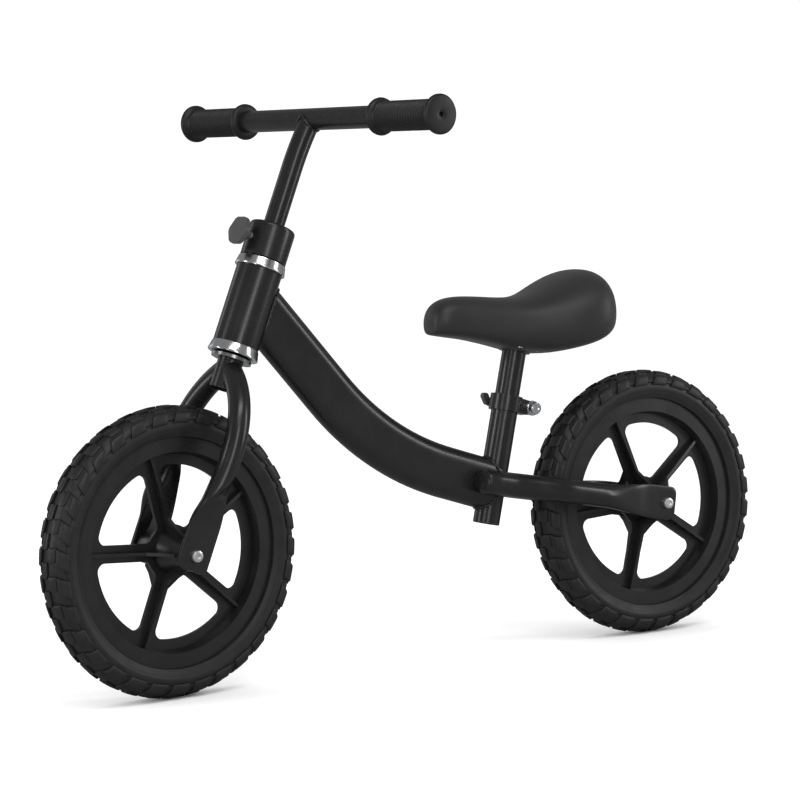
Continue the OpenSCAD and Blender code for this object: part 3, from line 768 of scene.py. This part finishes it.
@dataclass
class PressedTube:
    """Round tube that follows a bent path and ends in a flat plate with rounded corners.

    It runs down its own Z axis and ends below the axle; its plate lies across Y.
    """

    name: str
    radius: float
    plate_y: float
    plate_half: float
    plate_thick: float
    press_start: float
    press_end: float
    tip: float
    corner: float
    crease_start: float
    crease_end: float
    crease_slant: float
    sides: int = 48
    crease_angle: float = 50.0
    squareness: float = 0.72
    margin: float = 2.0
    flat_rings: int = 30
    corner_rings: int = 6

    def bend(self) -> list[Matrix]:
        """Return the places of the round stretch's rings, from its top down to the pressing."""
        return []

    def tube_y(self) -> float:
        """Return the distance of the round stretch's axis from the middle plane."""
        return self.plate_y

    def build_body(self) -> Piece:
        """Extrude the rings one after another, then press the end flat.

        Returns:
            The left-hand tube at its working place.
        """
        rings = self.bend()
        clear()
        bpy.ops.mesh.primitive_circle_add(vertices=self.sides, radius=self.radius * MM)
        piece = begin(self.name)
        steps = self.flat_levels()
        for _ in range(len(rings) + len(steps) - 1):
            bpy.ops.mesh.extrude_region_move(TRANSFORM_OT_translate={"value": (0, 0, -MM)})
        clear()
        for vertex in piece.data.vertices:
            row = round(-vertex.co.z / MM)
            turn = math.atan2(vertex.co.y, vertex.co.x)
            if row < len(rings):
                flat = Vector((math.cos(turn), math.sin(turn), 0)) * self.radius * MM
                vertex.co = rings[row] @ flat
            else:
                vertex.co = self.pressed_point(turn, steps[row - len(rings)])
        edit(piece)
        close()
        smooth(piece, self.crease_angle)
        return piece

    def flat_levels(self) -> list[float]:
        """Space out the rings of the pressed stretch.

        Returns:
            Their heights, from the start of the pressing to the tip.
        """
        levels = [max(self.press_start, self.crease_start + self.crease_slant) + self.margin]
        count = self.flat_rings
        span = levels[0] - self.tip - self.corner - self.margin
        levels += [levels[0] - span * (i + 1) / count for i in range(count)]
        for i in range(self.corner_rings + 1):
            levels.append(self.tip + self.corner * (1 - math.sin(i / self.corner_rings * math.pi / 2)))
        return levels

    def pressed_point(self, turn: float, level: float) -> Vector:
        """Return one point of the pressed stretch.

        Args:
            turn: Angle round the tube, from X towards Y.
            level: Height of its ring.

        Returns:
            The point in metres.
        """
        across = math.cos(turn)
        slanted = level + self.crease_slant * across
        blend = eased((self.crease_start - slanted) / (self.crease_start - self.crease_end))
        overall = eased((self.press_start - level) / (self.press_start - self.press_end))
        half = self.radius + (self.plate_half - self.radius) * overall
        below = self.tip + self.corner - level
        if below > 0:
            half -= self.corner - math.sqrt(max(0.0, self.corner**2 - below**2))
        thick = self.radius + (self.plate_thick / 2 - self.radius) * blend
        power = 1 - self.squareness * blend
        wide = math.copysign(abs(across) ** power, across)
        deep = math.copysign(abs(math.sin(turn)) ** power, math.sin(turn))
        middle = self.tube_y() + (self.plate_y - self.tube_y()) * blend
        return Vector((half * wide, middle + thick * deep, level)) * MM


@dataclass
class ForkLeg(PressedTube):
    """Leg of the fork: it leaves the steerer sideways, bends down and ends in a plate."""

    bend_radius: float = 98.0
    bend_top: float = 104.0
    bend_angle: float = 58.3
    bend_rings: int = 14
    leg_y: float = 49.5

    def tube_y(self) -> float:
        """Return the distance of the straight leg from the middle plane."""
        return self.leg_y

    def ring(self, angle: float) -> Matrix:
        """Place one ring of the bend.

        Args:
            angle: Degrees of bend between it and the straight leg.

        Returns:
            Its place.
        """
        turn = math.radians(angle)
        y = self.leg_y - self.bend_radius * (1 - math.cos(turn))
        z = self.bend_top + self.bend_radius * math.sin(turn)
        return moved(0, y, z) @ turned("X", angle)

    def bend(self) -> list[Matrix]:
        """Return the rings' places from the steerer round the bend."""
        count = self.bend_rings
        return [self.ring(self.bend_angle * (1 - i / count)) for i in range(count + 1)]


@dataclass
class Stay(PressedTube):
    """Chain stay: straight beside the seat tube, set outwards over the tyre, then a plate.

    Its front end is a dome: (share of the radius, distance ahead) of each ring.
    """

    inner_y: float = 26.6
    front: float = 229.0
    front_step: float = 14.0
    corner_front: float = 189.4
    corner_rear: float = 140.0
    corner_ease: float = 8.0
    bend_rings: int = 16
    dome_inset: float = 1.0
    dome: Section = ((0.35, 7.0), (0.7, 5.6), (0.88, 3.4), (0.97, 1.2))

    def tube_y(self) -> float:
        """Return the distance of the stay's rear stretch from the middle plane."""
        return self.plate_y + 2.0

    def bend(self) -> list[Matrix]:
        """Place the round stretch's rings.

        Returns:
            Their places, from a domed front end to where pressing starts.
        """
        rings = []
        for shrink, ahead in self.dome:
            y = self.inner_y - (1 - shrink) * (self.radius - self.dome_inset)
            rings.append(moved(0, y, self.front + ahead) @ Matrix.Diagonal((shrink, shrink, 1, 1)))
        count, across = self.bend_rings, self.tube_y() - self.inner_y
        start, end = self.corner_front + self.corner_ease, self.corner_rear - self.corner_ease
        levels = [self.front - i * self.front_step for i in range(3)]
        levels += [start + (end - start) * i / count for i in range(count + 1)]
        levels += [end - self.corner_ease]
        for level in levels:
            share = min(1.0, max(0.0, (start - level) / (start - end)))
            slope = 6 * share * (1 - share) * across / (start - end)
            y = self.inner_y + across * eased(share)
            rings.append(moved(0, y, level) @ turned("X", math.degrees(math.atan(slope))))
        return rings


LEG = ForkLeg(
    name="pressed_fork_leg_left", radius=11.0, plate_y=42.0, plate_half=18.0, plate_thick=4.0,
    press_start=98.0, press_end=30.0, tip=-15.0, corner=6.0,
    crease_start=78.0, crease_end=50.0, crease_slant=24.0,
)
STAY = Stay(
    name="pressed_stay_left", radius=12.7, plate_y=42.0, plate_half=18.0, plate_thick=4.0,
    press_start=86.0, press_end=12.0, tip=-11.5, corner=7.0,
    crease_start=92.0, crease_end=26.0, crease_slant=0.0,
)


def build_pressed_tubes() -> None:
    """Make the fork legs under the steerer, and the stays between the beam and the rear axle."""
    for tube, body, node, where in (
        (LEG, "fork", "fork_leg", FORK),
        (STAY, "frame", "chain_stay", STAYS),
    ):
        settle_pair(tube.build_body(), body, POWDER_COAT, node, where)


# ---- Moulded and forged parts that keep the CAD shape, with eased edges ----


@dataclass(frozen=True)
class Eased:
    """A CAD node's shape with its sharp edges rounded, as they come out of a mould or a die."""

    name: str
    node: str
    body: str
    slot: str
    finish: Finish
    width: float
    segments: int = 2
    flat_angle: float = 1.0
    sharp_angle: float = 38.0
    crease_angle: float = 40.0

    def build(self) -> None:
        """Copy the node's mesh, merge it and bevel its edges."""
        piece = copy(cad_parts[self.node], self.name)
        piece.parent = None
        edit(piece)
        weld()
        bpy.ops.mesh.select_all(action="SELECT")
        bpy.ops.mesh.dissolve_limited(angle_limit=math.radians(self.flat_angle))
        clear()
        edge = {"width": self.width * MM, "segments": self.segments, "harden_normals": True}
        sharp = {"limit_method": "ANGLE", "angle_limit": math.radians(self.sharp_angle)}
        modify(piece, "BEVEL", use_clamp_overlap=True, **edge, **sharp)
        smooth(piece, self.crease_angle)
        modify(piece, "WEIGHTED_NORMAL", keep_sharp=True)
        settle(piece, self.body, self.finish, [self.node])


def build_eased() -> None:
    """Round the edges of the rims, knob, lever, clamp band and axle nuts."""
    for part in (
        Eased("moulded_rim_front", "front_rim", "front_wheel", "rim_plastic", NYLON, 0.7),
        Eased("moulded_rim_rear", "rear_rim", "rear_wheel", "rim_plastic", NYLON, 0.7),
        Eased("moulded_knob", "clamp_knob", "knob", "knob_plastic", ABS, 1.0),
        Eased("moulded_lever", "seat_clamp_lever", "lever", "lever_plastic", ABS, 0.9),
        Eased("folded_clamp_band", "seat_clamp_band", "frame", "frame_paint", POWDER_COAT, 0.5),
        Eased("domed_axle_nuts_front", "front_axle_nuts", "fork", "bare_steel", ZINC, 0.5),
        Eased("domed_axle_nuts_rear", "rear_axle_nuts", "frame", "bare_steel", ZINC, 0.5),
    ):
        part.build()


# ---- Turned parts ----


@dataclass(frozen=True)
class Headset:
    """Chromed cups at the ends of the head tube, and the clamp collar above them.

    Each section is (distance from the steering axis, height above the front axle) of its corners.
    """

    head_foot: float = 211.2
    head_top: float = 291.2
    collar_foot: float = 301.0
    collar_top: float = 337.0
    collar_radius: float = 23.2
    stem_radius: float = 10.9
    hidden_radius: float = 20.0
    steps: int = 96

    def upper_cup(self) -> Section:
        """Draw the cup that takes the upper bearing.

        Returns:
            A section with a rolled lip, a tapering wall and a rounded outer edge.
        """
        top = self.head_top
        return (
            (23.1, top - 0.8), (24.9, top - 0.8), (25.4, top - 0.5), (25.6, top + 0.1),
            (25.5, top + 0.9), (25.2, top + 1.6), (24.1, top + 7.8), (23.8, top + 8.6),
            (23.3, top + 9.0), (22.4, top + 9.1), (21.2, top + 8.9), (20.4, top + 5.2),
            (14.2, top + 5.1), (14.2, top + 2.4), (21.0, top + 2.2), (21.1, top + 0.1),
            (23.1, top + 0.05),
        )

    def lower_cup(self) -> Section:
        """Draw the cup that takes the lower bearing.

        Returns:
            A section that widens downwards to a rounded rim.
        """
        foot = self.head_foot
        return (
            (22.6, foot), (23.4, foot), (23.8, foot - 0.7), (25.3, foot - 7.8), (25.6, foot - 8.6),
            (25.5, foot - 9.4), (25.1, foot - 9.9), (24.3, foot - 10.0), (22.2, foot - 10.0),
            (21.4, foot - 9.6), (20.2, foot - 5.4), (19.2, foot - 4.9), (14.2, foot - 4.9),
            (14.2, foot - 2.2), (21.0, foot - 2.0),
        )

    def collar(self) -> Section:
        """Draw the clamp collar.

        Returns:
            A section with a rounded rim round the stem.
        """
        foot, top, edge, stem = self.collar_foot, self.collar_top, self.collar_radius, self.stem_radius
        return (
            (self.hidden_radius, foot), (edge - 0.5, foot), (edge, foot + 0.5), (edge, top - 4.2),
            (edge - 0.2, top - 2.8), (edge - 0.9, top - 1.5), (edge - 2.0, top - 0.6),
            (edge - 3.4, top - 0.15), (edge - 5.0, top), (stem + 0.5, top), (stem, top - 0.5),
            (stem, top - 5.0), (self.hidden_radius, top - 5.0),
        )

    def turn(self, name: str, section: Section, crease: float) -> Piece:
        """Turn a part on the lathe.

        Args:
            name: Name of the part.
            section: Its section.
            crease: Angle in degrees above which an edge stays sharp.

        Returns:
            The part, its axis along Z.
        """
        points = [Vector((r, 0, z)) * MM for r, z in section]
        piece = chain(name, [*points, points[0]])
        spin(self.steps, (0, 0, 1))
        smooth(piece, crease)
        return piece

    def build(self) -> None:
        """Make the cups on the head's axis and the collar on the fork's."""
        for end, section in (("upper", self.upper_cup()), ("lower", self.lower_cup())):
            cup = self.turn(f"chromed_cup_{end}", section, 30)
            settle(cup, "frame", CHROME, [f"headset_cup_{end}"], HEAD)
        collar = self.turn("turned_collar", self.collar(), 35)
        settle(collar, "fork", POWDER_COAT, ["clamp_collar"], FORK)


# ---- Welds ----


@dataclass
class WeldBead:
    """Bead of weld along the line where the end of one tube meets another node.

    The end's outline is sent along its own axis until it meets the target.
    """

    name: str
    body: str
    target: str
    start: Matrix
    outline: Section
    reach: float = 120.0
    radius: float = 1.7
    proud: float = 0.5
    ripple: float = 0.2
    fewest: int = 8

    def line(self) -> list[Vector]:
        """Send the outline to the target.

        Returns:
            The points where it meets it, in order.
        """
        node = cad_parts[self.target]
        axis = (self.start.to_3x3() @ Vector((0, 0, 1))).normalized()
        points = []
        for x, y in self.outline:
            origin = self.start @ (Vector((x, y, 0)) * MM)
            hit, place, outward, _ = node.ray_cast(origin, axis, distance=self.reach * MM)
            if hit:
                points.append(place + outward * self.radius * self.proud * MM)
        return points

    def build(self) -> None:
        """Lay the bead: a curve of alternating thickness, closed if the whole outline meets the node."""
        points = self.line()
        if len(points) <= self.fewest:
            LOG.warning("%s meets nothing", self.name)
            return
        if len(points) == len(self.outline):
            points.append(points[0])
        piece = chain(self.name, points)
        weld()
        take(piece)
        bpy.ops.object.convert(target="CURVE")
        piece.data.bevel_depth = self.radius * MM
        piece.data.bevel_resolution = 2
        piece.data.use_fill_caps = True
        for spline in piece.data.splines:
            for i, point in enumerate(spline.points):
                point.radius = 1 + self.ripple * math.sin(i * math.pi / 1.5)
        bpy.ops.object.convert(target="MESH")
        edit(piece)
        weld()
        smooth(piece, 80)
        settle(piece, self.body, POWDER_COAT)


def round_outline(radius: float, count: int) -> Section:
    """Return a circle's points."""
    turns = [i * math.tau / count for i in range(count)]
    return tuple((radius * math.cos(t), radius * math.sin(t)) for t in turns)


def oval_outline(deep: float, wide: float, count: int = 48, flat_count: int = 12) -> Section:
    """Return the points of a flat-sided oval.

    Args:
        deep: Its size along X.
        wide: Its size along Y.
        count: Steps round its two ends together.
        flat_count: Steps along each flat side.

    Returns:
        The points, in order.
    """
    half, straight = wide / 2, (deep - wide) / 2
    points = []
    for side in (1, -1):
        for i in range(count // 2 + 1):
            turn = math.pi * (i / (count // 2) - 0.5)
            points.append((side * (straight + half * math.cos(turn)), side * half * math.sin(turn)))
        shares = (1 - 2 * i / flat_count for i in range(1, flat_count))
        points += [(side * straight * share, side * half) for share in shares]
    return tuple(points)


@dataclass(frozen=True)
class Welds:
    """All the beads. A leg's bead starts part-way round the leg's bend.

    Each place of the beam's ends is (x, z, turn about Y) in millimetres and degrees.
    """

    stem_lean: float = 9.03
    stem_start: float = 36.0
    stem_radius: float = 10.8
    stem_steps: int = 60
    stem_bead: float = 1.3
    beam_depth: float = 54.0
    beam_front: tuple[float, float, float] = (103.1, 283.1, 41.0)
    beam_front_width: float = 30.0
    beam_rear: tuple[float, float, float] = (-38.3, 192.2, -107.5)
    beam_rear_width: float = 27.0
    beam_bead: float = 1.8
    leg_angle: float = 40.0
    leg_steps: int = 52
    leg_reach: float = 20.0

    def beads(self) -> list[WeldBead]:
        """Describe the beads of the stem, the beam and the fork legs.

        Returns:
            The beads, ready to be laid.
        """
        stem = BAR @ turned("Y", -self.stem_lean) @ moved(0, 0, -self.stem_start)
        outline = round_outline(self.stem_radius, self.stem_steps)
        bead = WeldBead("weld_stem", "handlebar", "handlebar_tube", stem, outline, radius=self.stem_bead)
        beads = [bead]
        for end, target, (x, z, turn), width in (
            ("front", "head_tube", self.beam_front, self.beam_front_width),
            ("rear", "seat_tube", self.beam_rear, self.beam_rear_width),
        ):
            place, outline = moved(x, 0, z) @ turned("Y", turn), oval_outline(self.beam_depth, width)
            bead = WeldBead(f"weld_beam_{end}", "frame", target, place, outline, radius=self.beam_bead)
            beads.append(bead)
        outline = round_outline(LEG.radius, self.leg_steps)
        for side, name in ((1, "left"), (-1, "right")):
            top = LEG.ring(self.leg_angle)
            leg = FORK @ Matrix.Translation((0, side * top.translation.y, top.translation.z))
            leg = leg @ turned("X", side * self.leg_angle)
            bead = WeldBead(f"weld_leg_{name}", "fork", "fork_steerer", leg, outline, self.leg_reach)
            beads.append(bead)
        return beads

    def build(self) -> None:
        """Lay every bead."""
        for bead in self.beads():
            bead.build()


# ---- Saddle ----


@dataclass
class Saddle:
    """Padded saddle: rings from the nose to the tail, pulled to shape and subdivided.

    Each station is (x, half width, height of the rim, height of the crown) in millimetres.
    """

    stations: tuple[tuple[float, float, float, float], ...] = (
        (-21.0, 7.0, 337.6, 352.0), (-23.0, 14.0, 335.6, 361.0), (-30.0, 19.6, 334.4, 369.6),
        (-44.0, 23.0, 332.0, 374.4), (-62.0, 25.4, 329.4, 374.8), (-82.0, 29.0, 325.0, 373.6),
        (-104.0, 34.0, 319.6, 371.6), (-126.0, 42.6, 313.6, 370.8), (-148.0, 52.4, 309.2, 375.4),
        (-170.0, 61.4, 310.6, 385.4), (-191.0, 67.4, 313.4, 394.0), (-208.0, 66.6, 316.6, 398.4),
        (-221.0, 59.0, 320.4, 396.4), (-230.4, 46.0, 325.4, 387.0), (-235.4, 30.0, 332.0, 373.0),
        (-237.0, 15.0, 340.0, 362.0),
    )
    sides: int = 24
    waist: float = 0.42
    dome_powers: Point = (0.86, 0.92)
    flank_powers: Point = (0.62, 0.66)
    tuck: float = 0.10

    def outline(self, turn: float, half: float, rim: float, crown: float) -> Point:
        """Return (y, z) of one ring's point: a low dome on flat flanks with a rounded rim.

        Args:
            turn: Angle round the ring in radians, from its left-hand side upwards.
            half: Half width of the ring.
            rim: Height of its lowest point.
            crown: Height of its highest point.

        Returns:
            The point in millimetres.
        """
        across, up = math.cos(turn), math.sin(turn)
        waist = rim + self.waist * (crown - rim)
        wide, high = self.dome_powers if up >= 0 else self.flank_powers
        y = half * math.copysign(abs(across) ** wide, across)
        if up >= 0:
            return (y, waist + (crown - waist) * abs(up) ** high)
        return (y * (1 - self.tuck * up * up), waist - (waist - rim) * abs(up) ** high)

    def build(self) -> None:
        """Make the cushion in its place."""
        clear()
        first = self.stations[0]
        bpy.ops.mesh.primitive_circle_add(
            vertices=self.sides,
            radius=MM,
            fill_type="NGON",
            location=Vector((first[0], 0, first[2])) * MM,
            rotation=(math.pi / 2, 0, math.pi / 2),
        )
        piece = begin("saddle_cover")
        for start, end in zip(self.stations, self.stations[1:]):
            shift = Vector((end[0] - start[0], 0, 0)) * MM
            bpy.ops.mesh.extrude_region_move(TRANSFORM_OT_translate={"value": shift})
        clear()
        for vertex in piece.data.vertices:
            gaps = [abs(station[0] * MM - vertex.co.x) for station in self.stations]
            _, half, rim, crown = self.stations[gaps.index(min(gaps))]
            turn = math.atan2(vertex.co.z - first[2] * MM, vertex.co.y)
            y, z = self.outline(turn, half, rim, crown)
            vertex.co.y, vertex.co.z = y * MM, z * MM
        edit(piece)
        weld()
        clear()
        modify(piece, "SUBSURF", levels=2, render_levels=2)
        smooth(piece, 60)
        settle(piece, "seat", LEATHERCLOTH, ["saddle_cushion"])


# ---- Studio ----


@dataclass(frozen=True)
class Softbox:
    """Rectangular lamp: where it stands, what it faces, its size and its power."""

    name: str
    place: tuple[float, float, float]
    target: tuple[float, float, float]
    size: Point
    power: float


@dataclass
class Studio:
    """Pale floor, a bright surround, soft lamps and the camera.

    Reflections see a darker floor and surround than the camera does, as if black flags stood
    round the set, so that dark paint keeps its depth. The lens and the sensor are in millimetres.
    """

    lens: float = 120.92
    azimuth: float = 146.35
    elevation: float = 3.18
    roll: float = -2.28
    distance: float = 2.74397
    target: tuple[float, float, float] = (0.01799, 0.0, 0.27136)
    surround: float = 1.1
    reflected: float = 0.22
    reflected_floor: str = "808080"
    floor_size: float = 40.0
    sensor_width: float = 36.0
    softboxes: tuple[Softbox, ...] = (
        Softbox("key_box", (0.4, 1.8, 2.9), (0.0, 0.0, 0.25), (2.0, 0.5), 19.0),
        Softbox("side_strip", (0.6, 1.8, 1.0), (0.0, 0.0, 0.35), (0.34, 1.4), 7.0),
        Softbox("front_strip", (2.6, -0.6, 0.9), (0.1, 0.0, 0.35), (0.45, 1.6), 14.0),
        Softbox("nose_strip", (2.7, 1.7, 0.8), (0.1, 0.0, 0.35), (0.3, 1.4), 7.0),
        Softbox("far_strip", (0.9, -2.5, 1.0), (0.1, 0.0, 0.35), (0.5, 1.6), 3.0),
        Softbox("rear_strip", (-2.2, 1.5, 0.9), (-0.1, 0.0, 0.35), (0.4, 1.6), 13.0),
    )

    def floor(self) -> None:
        """Lay the floor, which rides on no body, and let reflections see it darker than the camera does.
        """
        clear()
        bpy.ops.mesh.primitive_plane_add(size=self.floor_size, location=(0, 0, 0))
        piece = bpy.context.active_object
        piece.name = "studio_floor"
        dress(piece, FLOOR)
        tree = piece.data.materials[0].node_tree
        shader = next(n for n in tree.nodes if n.type == "BSDF_PRINCIPLED")
        shaded = shader.inputs["Base Color"].links[0].from_socket
        glossy = add_node(tree, "LightPath").outputs["Is Glossy Ray"]
        sources, darker = {"Fac": glossy, "Color1": shaded}, {"Color2": linear(self.reflected_floor)}
        dimmed = add_node(tree, "MixRGB", sources, darker).outputs["Color"]
        tree.links.new(dimmed, shader.inputs["Base Color"])
        shader.inputs["Specular IOR Level"].default_value = 0.0

    def sky(self) -> None:
        """Surround the scene with an even white."""
        world = bpy.data.worlds.new("white_surround")
        world.use_nodes = True
        background = world.node_tree.nodes["Background"]
        background.inputs["Color"].default_value = linear("ffffff")
        tree = world.node_tree
        glossy = add_node(tree, "LightPath").outputs["Is Glossy Ray"]
        levels = {"To Min": self.surround, "To Max": self.reflected}
        strength = add_node(tree, "MapRange", {"Value": glossy}, levels).outputs["Result"]
        tree.links.new(strength, background.inputs["Strength"])
        world.cycles.sampling_method = "NONE"
        bpy.context.scene.world = world

    def lamps(self) -> None:
        """Hang the softboxes."""
        for box in self.softboxes:
            bpy.ops.object.light_add(type="AREA", location=box.place)
            lamp = bpy.context.active_object
            lamp.name = box.name
            lamp.data.shape = "RECTANGLE"
            lamp.data.size, lamp.data.size_y = box.size
            lamp.data.energy = box.power
            facing = Vector(box.target) - Vector(box.place)
            lamp.rotation_euler = facing.to_track_quat("-Z", "Y").to_euler()

    def camera(self) -> None:
        """Stand the camera low on the bike's left, a little ahead of it."""
        bpy.ops.object.camera_add()
        camera = bpy.context.active_object
        camera.name = "studio_camera"
        camera.data.lens = self.lens
        camera.data.sensor_width = self.sensor_width
        facing = turned("Z", self.azimuth) @ turned("X", 90 - self.elevation) @ turned("Z", self.roll)
        back = Matrix.Translation((0, 0, self.distance))
        camera.matrix_world = Matrix.Translation(self.target) @ facing @ back
        bpy.context.scene.camera = camera

    def build(self) -> None:
        """Set up the floor, the light and the camera."""
        self.floor()
        self.sky()
        self.lamps()
        self.camera()
        bpy.context.scene.view_settings.view_transform = "Standard"


def main() -> None:
    """Build every piece, dress the nodes and set up the studio."""
    logging.basicConfig(level=logging.INFO, format="%(message)s")
    dress_nodes()
    tyre = Tyre()
    tyre.build("front", 10.2, FRONT_WHEEL)
    tyre.build("rear", 4.0, REAR_WHEEL)
    build_pressed_tubes()
    build_eased()
    Headset().build()
    Welds().build()
    Grip().build()
    Saddle().build()
    Studio().build()
    clear()


if __name__ == "__main__":
    main()
